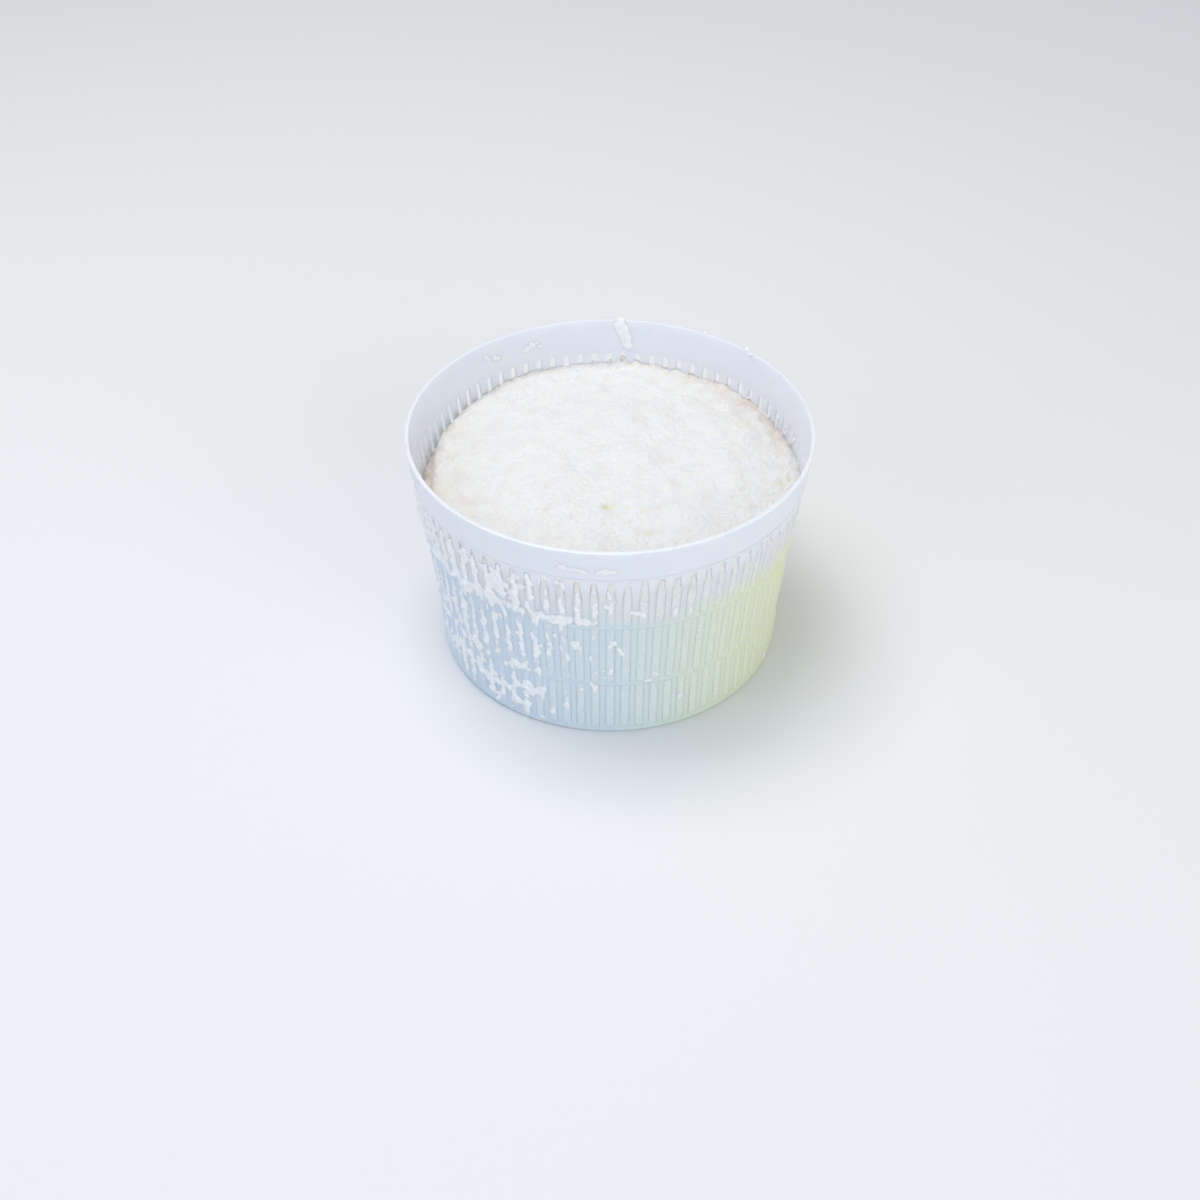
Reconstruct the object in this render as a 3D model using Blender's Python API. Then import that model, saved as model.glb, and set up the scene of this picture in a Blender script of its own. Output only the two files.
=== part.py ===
"""Ricotta in its draining basket, modelled as solid pieces at real size.

The basket is one moulding: a turned tapered cup with three rows of upright
slots between hoops, and radial slots in its base. The ricotta fills it up to
a low uneven dome and squeezes out through the slots on one side. Lengths are
in metres, +Z is up, and the origin is the middle of the base on the table.
Angles run counter-clockwise from +X, seen from above; the front is -Y.
"""

import math
import random

import bmesh
import bpy
from mathutils import Matrix, Vector, noise

MM = 0.001

# Basket, the driving sizes.
BASKET_HEIGHT = 73.0 * MM
RIM_RADIUS = 59.0 * MM
BAND_FOOT_HEIGHT = 62.4 * MM
BAND_FOOT_RADIUS = 57.45 * MM
UPPER_HOOP_HEIGHT = 43.1 * MM
UPPER_HOOP_RADIUS = 55.2 * MM
LOWER_HOOP_HEIGHT = 19.8 * MM
LOWER_HOOP_RADIUS = 52.8 * MM
BASE_RADIUS = 51.8 * MM
BASE_THICKNESS = 1.4 * MM
BASE_EDGE = 0.7 * MM
WALL = 1.1 * MM
LIP_EDGE = 0.3 * MM

# How far each hoop stands out past the wall under it.
HOOP_STEP = 0.42 * MM
BAND_STEP = 0.25 * MM
STEP_RISE = 0.3 * MM

# Slots of the wall: three rows, one above the other, on the same ribs.
SLOT_COUNT = 78
SLOT_WIDTH = 1.85 * MM
HOOP_HEIGHT = 1.8 * MM
SLOT_TOP_MARGIN = 0.4 * MM
FIRST_SLOT_FOOT = 2.8 * MM

# Slots of the base, as two rings of radial cuts round a plain hub.
BASE_OUTER_SLOTS = 32
BASE_OUTER_SPAN = (27.0 * MM, 46.5 * MM)
BASE_INNER_SLOTS = 16
BASE_INNER_SPAN = (9.0 * MM, 23.0 * MM)

# Ricotta.
GAP = 0.3 * MM
DOME_HEIGHT = 62.6 * MM
WALL_LEVEL = 58.4 * MM
LEFT_DIP = 6.4 * MM
LEFT_DIP_ANGLE = math.radians(168.0)
LEFT_DIP_SPREAD = math.radians(62.0)
RIGHT_DIP = 3.8 * MM
RIGHT_DIP_ANGLE = math.radians(14.0)
RIGHT_DIP_SPREAD = math.radians(44.0)
SHOULDER_WIDTH = 5.0 * MM
SWELL_SIZE = 17.0 * MM
SWELL_HEIGHT = 1.1 * MM
LUMP_SIZE = 7.0 * MM
LUMP_HEIGHT = 0.55 * MM
SIDE_ROWS = 3
TOP_RINGS = 11

# Curd that the slots let through: it is thickest where the ricotta was
# pressed against the wall, left of the front.
SQUEEZE_SEED = 7
SQUEEZE_ANGLE = math.radians(218.0)
SQUEEZE_SPREAD = math.radians(66.0)
SQUEEZE_PROUD = 2.2 * MM
SQUEEZE_ROOT = 1.2 * MM
SQUEEZE_LEVEL = 0.22
ROW_STRENGTH = (0.46, 0.58, 1.0)
STRAND_SIDES = 6
STRAND_RINGS = 4

# Share of its half length by which a strand's middle may stand above the edge.
STRAND_RISE = 0.3

# Stray bits on the front, as slot number, height and half length in mm.
STRAY_PROUD = 0.9 * MM
STRAY_BITS = (
    (57, 51.5, 2.2),
    (58, 54.5, 2.6),
    (60, 49.0, 1.5),
    (62, 48.7, 1.6),
    (63, 47.4, 1.5),
    (58, 37.3, 2.0),
    (58, 25.7, 1.6),
    (61, 23.6, 1.2),
    (63, 12.2, 1.5),
    (51, 16.3, 1.4),
    (49, 16.4, 1.5),
    (54, 6.7, 1.4),
)

SHARP_ANGLE = math.radians(35)


def basket_outline():
    """Half section of the cup, from the axis out under the base, up and in again."""
    def under(radius, step, height):
        return (radius - step, height - STEP_RISE)

    outside = [
        (0.0, 0.0),
        (BASE_RADIUS - BASE_EDGE, 0.0),
        (BASE_RADIUS, BASE_EDGE),
        under(LOWER_HOOP_RADIUS, HOOP_STEP, LOWER_HOOP_HEIGHT),
        (LOWER_HOOP_RADIUS, LOWER_HOOP_HEIGHT),
        under(UPPER_HOOP_RADIUS, HOOP_STEP, UPPER_HOOP_HEIGHT),
        (UPPER_HOOP_RADIUS, UPPER_HOOP_HEIGHT),
        under(BAND_FOOT_RADIUS, BAND_STEP, BAND_FOOT_HEIGHT),
        (BAND_FOOT_RADIUS, BAND_FOOT_HEIGHT),
        (RIM_RADIUS, BASKET_HEIGHT - LIP_EDGE),
        (RIM_RADIUS - LIP_EDGE, BASKET_HEIGHT),
    ]
    inside = [
        (RIM_RADIUS - WALL + LIP_EDGE, BASKET_HEIGHT),
        (RIM_RADIUS - WALL, BASKET_HEIGHT - LIP_EDGE),
        *reversed(wall_inside()),
        (0.0, BASE_THICKNESS),
    ]
    return outside + inside


def wall_inside():
    """Points of the wall's inner face under the lip, from the base up."""
    return [
        (BASE_RADIUS - WALL, BASE_THICKNESS),
        (LOWER_HOOP_RADIUS - WALL - HOOP_STEP, LOWER_HOOP_HEIGHT),
        (UPPER_HOOP_RADIUS - WALL - HOOP_STEP, UPPER_HOOP_HEIGHT),
        (BAND_FOOT_RADIUS - WALL - BAND_STEP, BAND_FOOT_HEIGHT - STEP_RISE),
        (BAND_FOOT_RADIUS - WALL, BAND_FOOT_HEIGHT),
    ]


def inner_radius(height):
    """Radius of the wall's inner face at a height, read along its straight runs."""
    points = wall_inside() + [(RIM_RADIUS - WALL, BASKET_HEIGHT)]
    for (low_radius, low), (high_radius, high) in zip(points, points[1:]):
        if height <= high:
            share = max(0.0, (height - low) / (high - low))
            return low_radius + share * (high_radius - low_radius)
    return points[-1][0]


def outer_radius(height):
    """Radius of the wall's outer face at a height, without the small steps."""
    points = [
        (BASE_RADIUS, 0.0),
        (LOWER_HOOP_RADIUS, LOWER_HOOP_HEIGHT),
        (UPPER_HOOP_RADIUS, UPPER_HOOP_HEIGHT),
        (BAND_FOOT_RADIUS, BAND_FOOT_HEIGHT),
        (RIM_RADIUS, BASKET_HEIGHT),
    ]
    for (low_radius, low), (high_radius, high) in zip(points, points[1:]):
        if height <= high:
            return low_radius + (height - low) / (high - low) * (high_radius - low_radius)
    return RIM_RADIUS


def slot_rows():
    """Foot and top of the slots in each row, the lowest row first."""
    feet = [FIRST_SLOT_FOOT, LOWER_HOOP_HEIGHT + HOOP_HEIGHT, UPPER_HOOP_HEIGHT + HOOP_HEIGHT]
    tops = [LOWER_HOOP_HEIGHT, UPPER_HOOP_HEIGHT, BAND_FOOT_HEIGHT]
    return [(foot, top - STEP_RISE - SLOT_TOP_MARGIN) for foot, top in zip(feet, tops)]


def slot_angle(index):
    """Angle of a slot's middle line; a slot lies dead behind and another dead in front."""
    return 2 * math.pi * (index + 0.5) / SLOT_COUNT


def turned(points):
    """Turns a half section round the axis; its facets' middles lie on the slots."""
    mesh = bmesh.new()
    section = [mesh.verts.new((radius, 0.0, height)) for radius, height in points]
    edges = [mesh.edges.new(pair) for pair in zip(section, section[1:])]
    bmesh.ops.spin(mesh, geom=section + edges, axis=(0, 0, 1), cent=(0, 0, 0),
                   angle=2 * math.pi, steps=SLOT_COUNT, use_merge=True)
    bmesh.ops.remove_doubles(mesh, verts=mesh.verts, dist=0.01 * MM)
    bmesh.ops.recalc_face_normals(mesh, faces=mesh.faces)
    return mesh


def add_box(mesh, size, place):
    """Adds a box of a size to a mesh, carried to its place by a matrix."""
    bmesh.ops.create_cube(mesh, size=1.0, matrix=place @ Matrix.Diagonal((*size, 1.0)))


def slot_cutter():
    """One box for each slot of the wall and of the base."""
    mesh = bmesh.new()
    for foot, top in slot_rows():
        middle = (foot + top) / 2
        radius = (inner_radius(middle) + outer_radius(middle)) / 2
        size = (8 * WALL, SLOT_WIDTH, top - foot)
        for index in range(SLOT_COUNT):
            turn = Matrix.Rotation(slot_angle(index), 4, "Z")
            add_box(mesh, size, turn @ Matrix.Translation((radius, 0.0, middle)))
    for count, (near, far) in ((BASE_OUTER_SLOTS, BASE_OUTER_SPAN), (BASE_INNER_SLOTS, BASE_INNER_SPAN)):
        size = (far - near, SLOT_WIDTH, 4 * BASE_THICKNESS)
        for index in range(count):
            turn = Matrix.Rotation(2 * math.pi * (index + 0.5) / count, 4, "Z")
            add_box(mesh, size, turn @ Matrix.Translation(((near + far) / 2, 0.0, BASE_THICKNESS / 2)))
    return mesh


def place_object(name, mesh, colour, roughness):
    """Makes a named object of a bmesh, with a material of its own."""
    data = bpy.data.meshes.new(name)
    mesh.to_mesh(data)
    mesh.free()
    piece = bpy.data.objects.new(name, data)
    bpy.context.scene.collection.objects.link(piece)
    material = bpy.data.materials.new(name)
    material.use_nodes = True
    shader = material.node_tree.nodes["Principled BSDF"]
    shader.inputs["Base Color"].default_value = (*colour, 1.0)
    shader.inputs["Roughness"].default_value = roughness
    shader.inputs["Metallic"].default_value = 0.0
    data.materials.append(material)
    data.shade_smooth()
    data.set_sharp_from_angle(angle=SHARP_ANGLE)
    return piece


def build_basket():
    """The moulded basket, its slots cut through the turned cup."""
    basket = place_object("basket", turned(basket_outline()), (0.74, 0.77, 0.84), 0.35)
    cutter = place_object("slot_cutter", slot_cutter(), (0.5, 0.5, 0.5), 0.5)
    cutter.hide_render = True
    cutter.display_type = "WIRE"
    cut = basket.modifiers.new("slots", "BOOLEAN")
    cut.operation = "DIFFERENCE"
    cut.solver = "EXACT"
    cut.object = cutter
    return basket


def hump(angle, middle, spread):
    """A smooth hump of height 1 over the angles within a spread of its middle."""
    away = abs((angle - middle + math.pi) % (2 * math.pi) - math.pi)
    if away >= spread:
        return 0.0
    return 0.5 + 0.5 * math.cos(math.pi * away / spread)


def wall_level(angle):
    """Height at which the ricotta meets the wall, lower on the left and a little on the right."""
    dips = LEFT_DIP * hump(angle, LEFT_DIP_ANGLE, LEFT_DIP_SPREAD)
    dips += RIGHT_DIP * hump(angle, RIGHT_DIP_ANGLE, RIGHT_DIP_SPREAD)
    ripple = 0.5 * MM * math.sin(9 * angle + 1.0) + 0.3 * MM * math.sin(23 * angle)
    return WALL_LEVEL - dips + ripple


def top_height(x, y):
    """Height of the ricotta's top: a low dome, its rounded shoulder and its swells."""
    angle = math.atan2(y, x)
    level = wall_level(angle)
    reach = inner_radius(level) - GAP
    out = min(1.0, math.hypot(x, y) / reach)
    shoulder = min(1.0, (1.0 - out) * reach / SHOULDER_WIDTH)
    crown = WALL_LEVEL + (DOME_HEIGHT - WALL_LEVEL) * (1.0 - out ** 2.4)
    height = level + (crown - level) * math.sqrt(1.0 - (1.0 - shoulder) ** 2)
    swell = SWELL_HEIGHT * noise.noise(Vector((x / SWELL_SIZE, y / SWELL_SIZE, 0.3)))
    lumps = LUMP_HEIGHT * noise.noise(Vector((x / LUMP_SIZE, y / LUMP_SIZE, 4.7)))
    return height + (swell + lumps) * shoulder


def settle(spot):
    """Carries a point of the unit plug to the ricotta's surface: its height is a row, its radius a share."""
    angle = math.atan2(spot.y, spot.x)
    out = math.hypot(spot.x, spot.y)
    level = wall_level(angle)
    on_side = out > 1.0 - 0.5 / TOP_RINGS
    if on_side or spot.z < 0.5:
        heights = (BASE_THICKNESS + GAP, LOWER_HOOP_HEIGHT, UPPER_HOOP_HEIGHT, level)
        height = heights[round(spot.z)]
        radius = out * (inner_radius(height) - GAP)
        return Vector((radius * math.cos(angle), radius * math.sin(angle), height))
    radius = out * (inner_radius(level) - GAP)
    x, y = radius * math.cos(angle), radius * math.sin(angle)
    return Vector((x, y, top_height(x, y)))


def ricotta_core():
    """The ricotta without what the slots let through, turned as a unit plug and then settled."""
    plug = [(0.0, 0.0)] + [(1.0, float(row)) for row in range(SIDE_ROWS + 1)]
    plug += [(1.0 - (ring + 1) / TOP_RINGS, float(SIDE_ROWS)) for ring in range(TOP_RINGS)]
    mesh = turned(plug)
    for vertex in mesh.verts:
        vertex.co = settle(vertex.co)
    return mesh


def add_strand(group, index, height, half_length, proud):
    """One strand of curd through a slot, rooted in the ricotta and rounded outside."""
    mesh = bmesh.new()
    near = inner_radius(height) - GAP - SQUEEZE_ROOT
    far = outer_radius(height) + proud
    lean = math.atan2(outer_radius(height + MM) - outer_radius(height - MM), 2 * MM)
    half_width = (SLOT_WIDTH / 2 - GAP) / math.sin(2 * math.pi / STRAND_SIDES)
    place = Matrix.Rotation(slot_angle(index), 4, "Z")
    place @= Matrix.Translation(((near + far) / 2, 0.0, height))
    place @= Matrix.Rotation(lean, 4, "Y")
    place @= Matrix.Diagonal(((far - near) / 2, half_width, half_length, 1.0))
    bmesh.ops.create_uvsphere(mesh, u_segments=STRAND_SIDES, v_segments=STRAND_RINGS, radius=1.0, matrix=place)
    data = bpy.data.meshes.new("strand")
    mesh.to_mesh(data)
    mesh.free()
    group.objects.link(bpy.data.objects.new("strand", data))


def squeeze_curd(group):
    """Fills a collection with the strands: a thick patch by rule, then the few stray bits."""
    draw = random.Random(SQUEEZE_SEED)
    for strength_of_row, (foot, top) in zip(ROW_STRENGTH, slot_rows()):
        room = (top - foot) / 2 - GAP
        for index in range(SLOT_COUNT):
            luck, slide = draw.random(), draw.random()
            angle = slot_angle(index)
            patch = hump(angle, SQUEEZE_ANGLE, SQUEEZE_SPREAD)
            strength = strength_of_row * patch * (0.6 + 0.7 * luck)
            if strength < SQUEEZE_LEVEL:
                continue
            half_length = room * min(0.92, 0.35 + 0.6 * strength)
            height = (foot + top) / 2 + (room - half_length) * (2 * slide - 1)
            height = min(height, wall_level(angle) + STRAND_RISE * half_length)
            add_strand(group, index, height, half_length, SQUEEZE_PROUD * min(1.0, 0.15 + 0.85 * strength))
    for index, height, half_length in STRAY_BITS:
        add_strand(group, index, height * MM, half_length * MM, STRAY_PROUD)


def build_ricotta():
    """The ricotta with the curd that stands out through the slots, as one body."""
    ricotta = place_object("ricotta", ricotta_core(), (0.93, 0.93, 0.89), 0.6)
    curd = bpy.data.collections.new("curd")
    bpy.context.scene.collection.children.link(curd)
    squeeze_curd(curd)
    join = ricotta.modifiers.new("curd", "BOOLEAN")
    join.operation = "UNION"
    join.solver = "EXACT"
    join.operand_type = "COLLECTION"
    join.collection = curd
    ready = ricotta.evaluated_get(bpy.context.evaluated_depsgraph_get())
    joined = bpy.data.meshes.new_from_object(ready)
    ricotta.modifiers.remove(join)
    ricotta.data = joined
    for strand in list(curd.objects):
        bpy.data.objects.remove(strand)
    bpy.data.collections.remove(curd)
    joined.shade_smooth()
    joined.set_sharp_from_angle(angle=SHARP_ANGLE)
    return ricotta


def main():
    """Clears the scene and builds both pieces."""
    for old in list(bpy.data.objects):
        bpy.data.objects.remove(old)
    build_basket()
    build_ricotta()


main()
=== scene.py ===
"""Ricotta in its draining basket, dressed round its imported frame.

The basket is a thin moulding of milky plastic with three rows of upright
slots between hoops. The ricotta fills it up to a low uneven dome, and curd
stands out through the slots on one side. Lengths are in metres, +Z is up and
the front is -Y. Angles run counter-clockwise from +X, seen from above.
"""

from __future__ import annotations

import logging
import math
import random
from dataclasses import dataclass, field
from enum import Enum
from typing import Any, Iterable

import bmesh
import bpy
from mathutils import Matrix, Vector, noise
from mathutils.geometry import intersect_point_line


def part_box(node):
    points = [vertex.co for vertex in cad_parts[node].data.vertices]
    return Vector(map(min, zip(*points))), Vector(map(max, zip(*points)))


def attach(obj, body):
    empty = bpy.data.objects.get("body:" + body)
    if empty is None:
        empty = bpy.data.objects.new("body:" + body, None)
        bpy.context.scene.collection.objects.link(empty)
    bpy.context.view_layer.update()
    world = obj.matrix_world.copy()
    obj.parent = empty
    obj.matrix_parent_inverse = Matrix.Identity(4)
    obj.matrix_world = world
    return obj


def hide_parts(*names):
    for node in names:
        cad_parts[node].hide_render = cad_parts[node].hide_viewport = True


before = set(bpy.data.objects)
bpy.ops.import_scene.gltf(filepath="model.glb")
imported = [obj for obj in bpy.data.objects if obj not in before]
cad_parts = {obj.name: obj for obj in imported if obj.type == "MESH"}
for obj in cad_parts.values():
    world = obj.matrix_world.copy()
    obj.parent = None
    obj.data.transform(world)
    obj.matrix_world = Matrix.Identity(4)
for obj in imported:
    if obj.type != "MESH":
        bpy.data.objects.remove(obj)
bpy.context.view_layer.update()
LOG = logging.getLogger("ricotta_in_basket")
MM = 0.001
TURN = 2 * math.pi
CURD_SHARP_ANGLE = 80.0


class Node(Enum):
    """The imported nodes, which are also the record's material slots."""

    BASKET = "basket"
    RICOTTA = "ricotta"


class Face(Enum):
    """Which face of the basket's wall something lies on."""

    INSIDE = -1
    OUTSIDE = 1


def linear(code: str) -> tuple[float, float, float, float]:
    """Turns an sRGB hex colour into linear light.

    Args:
        code: six hex digits, with or without a leading mark.

    Returns:
        Red, green, blue and an alpha of 1.
    """
    digits = code.lstrip("#")
    parts = [int(digits[place:place + 2], 16) / 255 for place in (0, 2, 4)]
    bright = [part / 12.92 if part <= 0.04045 else ((part + 0.055) / 1.055) ** 2.4 for part in parts]
    return (*bright, 1.0)


def add_node(tree: bpy.types.NodeTree, kind: str, settings: dict[str, Any] | None = None,
             links: dict[str | int, bpy.types.NodeSocket] | None = None) -> bpy.types.Node:
    """Adds a shader node with its settings and links.

    Args:
        tree: the material's node tree.
        kind: the node's Blender type.
        settings: values for the node's own properties, or else for its input sockets.
        links: input sockets, by name or number, with the outputs that feed them.

    Returns:
        The new node.
    """
    node = tree.nodes.new(kind)
    for name, value in (settings or {}).items():
        if isinstance(name, str) and hasattr(node, name):
            setattr(node, name, value)
        else:
            node.inputs[name].default_value = value
    for name, output in (links or {}).items():
        tree.links.new(output, node.inputs[name])
    return node


def mix_colours(tree: bpy.types.NodeTree, share: bpy.types.NodeSocket, first: str | bpy.types.NodeSocket,
                second: str | bpy.types.NodeSocket) -> bpy.types.NodeSocket:
    """Adds a node that mixes two colours.

    Args:
        tree: the material's node tree.
        share: the output that gives the second colour's share.
        first: an sRGB hex colour, or a node's output.
        second: the same for the other colour.

    Returns:
        The mixed colour.
    """
    mix = add_node(tree, "ShaderNodeMix", {"data_type": "RGBA"}, {0: share})
    for place, colour in ((6, first), (7, second)):
        if isinstance(colour, str):
            mix.inputs[place].default_value = linear(colour)
        else:
            tree.links.new(colour, mix.inputs[place])
    return mix.outputs[2]


def add_noise(tree: bpy.types.NodeTree, place: bpy.types.NodeSocket, size: float,
              detail: float = 3.0, roughness: float = 0.5) -> bpy.types.NodeSocket:
    """Adds a noise texture with features of a real size in metres, and gives its factor."""
    settings = {"Scale": 1 / size, "Detail": detail, "Roughness": roughness}
    return add_node(tree, "ShaderNodeTexNoise", settings, {"Vector": place}).outputs["Fac"]


def new_material(name: str) -> tuple[bpy.types.Material, bpy.types.NodeTree, bpy.types.Node]:
    """Makes a material with a Principled shader.

    Args:
        name: the material's name.

    Returns:
        The material, its node tree and its shader node.
    """
    material = bpy.data.materials.new(name)
    material.use_nodes = True
    return material, material.node_tree, material.node_tree.nodes["Principled BSDF"]


def set_inputs(shader: bpy.types.Node, values: dict[str, Any]) -> None:
    """Sets a shader's own sockets to constant values."""
    for name, value in values.items():
        shader.inputs[name].default_value = value


@dataclass(frozen=True)
class WheyTintAndPaintedLight:
    """Colour of curd wet with whey against the wall, partly painted light: blue-white towards -X where the
    whey is thin, which is a painted cool reflection, then greener and yellow towards +X where it stands
    thicker, which is partly whey and partly painted warm light.
    It is strongest low on the wall, where the painted reflection is strongest."""

    # left is a painted cool reflection; right is partly whey and partly painted warm light
    left: str = "CDDEF7"
    middle: str = "D8E8EC"
    right: str = "F0F6B8"
    reach: float = 52.0 * MM
    middle_from: float = 0.1
    yellow_from: float = 0.08
    foot: float = 45.0 * MM
    top: float = 57.0 * MM
    waver: float = 7.0 * MM

    def add(self, tree: bpy.types.NodeTree, place: bpy.types.NodeSocket,
            full: float) -> tuple[bpy.types.NodeSocket, bpy.types.NodeSocket]:
        """Adds the nodes of the tint.

        Args:
            tree: the material's node tree.
            place: Object coordinates.
            full: the share of the tint low on the wall.

        Returns:
            The tint's colour and its share, which fades upward.
        """
        axes = add_node(tree, "ShaderNodeSeparateXYZ", links={"Vector": place})
        across = {"Value": axes.outputs["X"]}
        near = add_node(tree, "ShaderNodeMapRange",
                        {"From Min": -self.reach, "From Max": self.middle_from * self.reach}, across)
        far = add_node(tree, "ShaderNodeMapRange",
                       {"From Min": self.yellow_from * self.reach, "From Max": self.reach}, across)
        cool = mix_colours(tree, near.outputs["Result"], self.left, self.middle)
        tint = mix_colours(tree, far.outputs["Result"], cool, self.right)
        cloud = add_noise(tree, place, self.waver)
        level = add_node(tree, "ShaderNodeMath", {"operation": "MULTIPLY_ADD", 1: self.waver},
                         {0: cloud, 2: axes.outputs["Z"]})
        fade = {"interpolation_type": "SMOOTHSTEP", "From Min": self.foot, "From Max": self.top,
                "To Min": full, "To Max": 0.0}
        share = add_node(tree, "ShaderNodeMapRange", fade, {"Value": level.outputs["Value"]})
        return tint, share.outputs["Result"]


@dataclass(frozen=True)
class MilkyPolypropylene:
    """Natural polypropylene, injection moulded thin: it glows milky where light
    comes through it, takes the tint of what lies behind it, mixed low down with painted reflection and warm
    light, and has a soft gloss."""

    name: str = "milky_polypropylene"
    colour: str = "E5E6EB"
    thin_colour: str = "EBECF0"
    glow: float = 0.8
    glow_spread: tuple[float, float, float] = (0.8, 0.9, 1.0)
    glow_depth: float = 1.6 * MM
    tint_share: float = 0.95
    # Painted shadow: a dark blue-grey line just under each hoop's step.
    hoop_shadow_colour: str = "A9BAC8"
    hoop_shadow_heights: tuple[float, float] = (19.66 * MM, 42.96 * MM)
    hoop_shadow_width: float = 0.28 * MM
    hoop_shadow_share: float = 0.9
    roughness: float = 0.34
    ior: float = 1.49
    cloud_size: float = 9.0 * MM
    draw_line: float = 0.7 * MM
    line_squash: float = 0.08
    line_strength: float = 0.12
    line_depth: float = 0.1 * MM

    def make(self) -> bpy.types.Material:
        """Builds the material."""
        material, tree, shader = new_material(self.name)
        place = add_node(tree, "ShaderNodeTexCoord").outputs["Object"]
        plain = mix_colours(tree, add_noise(tree, place, self.cloud_size), self.colour, self.thin_colour)
        # The tint low on the wall is partly whey behind it and partly painted cool reflection and warm light.
        whey, share = WheyTintAndPaintedLight().add(tree, place, self.tint_share)
        tint = mix_colours(tree, share, plain, whey)
        axes = add_node(tree, "ShaderNodeSeparateXYZ", links={"Vector": place})
        # Paints the shadow line under each hoop into the base colour.
        for height in self.hoop_shadow_heights:
            near = add_node(tree, "ShaderNodeMath", {"operation": "COMPARE", 1: height, 2: self.hoop_shadow_width},
                            {0: axes.outputs["Z"]})
            soft = add_node(tree, "ShaderNodeMath", {"operation": "MULTIPLY", 1: self.hoop_shadow_share},
                            {0: near.outputs["Value"]})
            tint = mix_colours(tree, soft.outputs["Value"], tint, self.hoop_shadow_colour)
        tree.links.new(tint, shader.inputs["Base Color"])
        stretch = add_node(tree, "ShaderNodeMapping", {"Scale": (1.0, 1.0, self.line_squash)},
                           {"Vector": place})
        lines = add_noise(tree, stretch.outputs["Vector"], self.draw_line, 2.0)
        bump = add_node(tree, "ShaderNodeBump", {"Strength": self.line_strength, "Distance": self.line_depth},
                        {"Height": lines})
        tree.links.new(bump.outputs["Normal"], shader.inputs["Normal"])
        set_inputs(shader, {
            "Roughness": self.roughness,
            "IOR": self.ior,
            "Subsurface Weight": self.glow,
            "Subsurface Radius": self.glow_spread,
            "Subsurface Scale": self.glow_depth,
        })
        return material


@dataclass(frozen=True)
class FreshCurd:
    """Fresh ricotta, drained but moist: white and finely grained, cream where it
    has dried a little and yellow where whey stands in its hollows. The same cream colour paints shade where
    the top falls to the wall.

    The float attributes cream_and_shade and whey of a piece say where; without them it stays white.
    The tint share says how much of the wall's tint, partly whey and partly painted reflection and warm light,
    it takes low down."""

    name: str = "fresh_curd"
    tint_share: float = 0.2
    colour: str = "F4F4F1"
    shade_colour: str = "EAE9E5"
    cream_and_shade_colour: str = "E4D8CC"
    whey_colour: str = "E4DFAE"
    roughness: float = 0.5
    ior: float = 1.38
    glow: float = 0.7
    glow_spread: tuple[float, float, float] = (1.0, 0.85, 0.65)
    glow_depth: float = 0.8 * MM
    rough_grain: float = 0.7
    mottle_size: float = 5.0 * MM
    mottle_roughness: float = 0.65
    grain_size: float = 1.15 * MM
    grain_depth: float = 0.4 * MM

    def make(self) -> bpy.types.Material:
        """Builds the material."""
        material, tree, shader = new_material(self.name)
        spot = add_node(tree, "ShaderNodeTexCoord").outputs["Object"]
        mottle = add_noise(tree, spot, self.mottle_size, 5.0, self.mottle_roughness)
        colour = mix_colours(tree, mottle, self.shade_colour, self.colour)
        # cream_and_shade: drier curd and painted shade by the wall; whey: whey in the pits and cracks.
        for attribute, tone in (("cream_and_shade", self.cream_and_shade_colour), ("whey", self.whey_colour)):
            where = add_node(tree, "ShaderNodeAttribute", {"attribute_name": attribute})
            colour = mix_colours(tree, where.outputs["Fac"], colour, tone)
        # Mixes in the wall's tint: partly whey, partly painted cool reflection and warm light.
        whey, share = WheyTintAndPaintedLight().add(tree, spot, self.tint_share)
        tree.links.new(mix_colours(tree, share, colour, whey), shader.inputs["Base Color"])
        grain = add_node(tree, "ShaderNodeTexVoronoi", {"feature": "SMOOTH_F1", "Scale": 1 / self.grain_size,
                                                        "Smoothness": 0.5}, {"Vector": spot})
        fine = add_noise(tree, spot, self.grain_size / 2.5, 4.0)
        both = add_node(tree, "ShaderNodeMath", {"operation": "SUBTRACT"},
                        {0: fine, 1: grain.outputs["Distance"]})
        bump = add_node(tree, "ShaderNodeBump", {"Strength": self.rough_grain, "Distance": self.grain_depth},
                        {"Height": both.outputs["Value"]})
        tree.links.new(bump.outputs["Normal"], shader.inputs["Normal"])
        sheen = add_node(tree, "ShaderNodeMapRange",
                         {"To Min": self.roughness - 0.08, "To Max": self.roughness + 0.1}, {"Value": mottle})
        tree.links.new(sheen.outputs["Result"], shader.inputs["Roughness"])
        set_inputs(shader, {
            "IOR": self.ior,
            "Subsurface Weight": self.glow,
            "Subsurface Radius": self.glow_spread,
            "Subsurface Scale": self.glow_depth,
        })
        return material


@dataclass(frozen=True)
class StudioPaper:
    """Pale matt paper under the object, evenly lit."""

    colour: str = "ECEBE9"

    def make(self) -> bpy.types.Material:
        """Builds the material."""
        material, _, shader = new_material("studio_paper")
        set_inputs(shader, {"Base Color": linear(self.colour), "Roughness": 0.9})
        return material


def finish_piece(name: str, mesh: bmesh.types.BMesh, material: bpy.types.Material,
                 sharp_angle: float = 40.0) -> bpy.types.Object:
    """Makes a smooth-shaded object of a bmesh, at the origin.

    Args:
        name: the piece's name.
        mesh: its shape, which is freed.
        material: its only material.
        sharp_angle: edges sharper than this, in degrees, stay sharp.

    Returns:
        The object, linked to the scene.
    """
    data = bpy.data.meshes.new(name)
    mesh.to_mesh(data)
    mesh.free()
    data.materials.append(material)
    data.shade_smooth()
    data.set_sharp_from_angle(angle=math.radians(sharp_angle))
    piece = bpy.data.objects.new(name, data)
    bpy.context.scene.collection.objects.link(piece)
    return piece


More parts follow.
